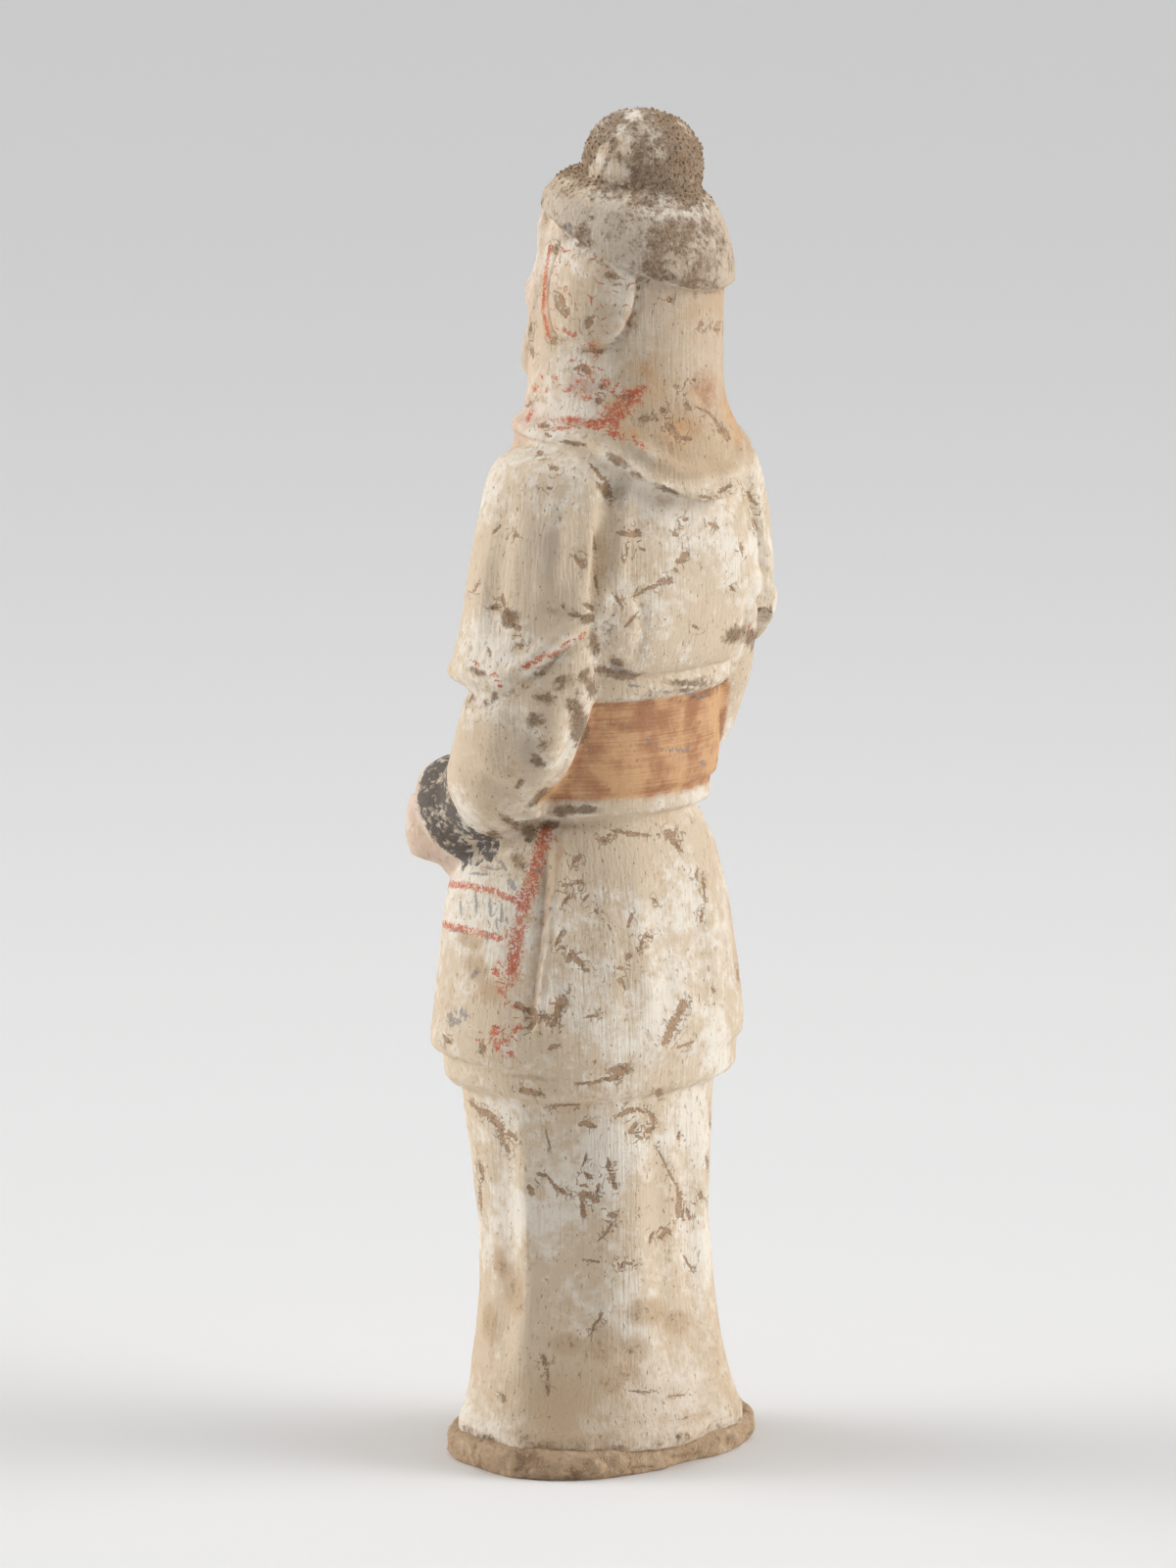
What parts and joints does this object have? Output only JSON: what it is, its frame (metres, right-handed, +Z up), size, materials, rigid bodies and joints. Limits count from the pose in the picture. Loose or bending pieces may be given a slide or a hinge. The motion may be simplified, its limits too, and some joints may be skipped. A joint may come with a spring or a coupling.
{
  "type": "pottery warrior figure",
  "caption": "Standing pottery warrior in helmet, hood, cape-sleeved jacket, skirt and wide trousers, both fists before the waist, on a thin oval clay slab.",
  "frame": {"origin": "on the ground, under the middle of the whole part's box", "axes": "+Z up; the figure faces -Y; its left hand is on +X"},
  "size_m": [0.1002, 0.0852, 0.3583],
  "materials": {
    "slipped_clay": "low-fired earthenware with a worn white slip, traces of red and orange paint, and chips and soil",
    "raw_clay": "unpainted rough brown earthenware with a drying crack"
  },
  "bodies": {
    "root": {"figure": "slipped_clay", "base_slab": "raw_clay"}
  },
  "joints": []
}
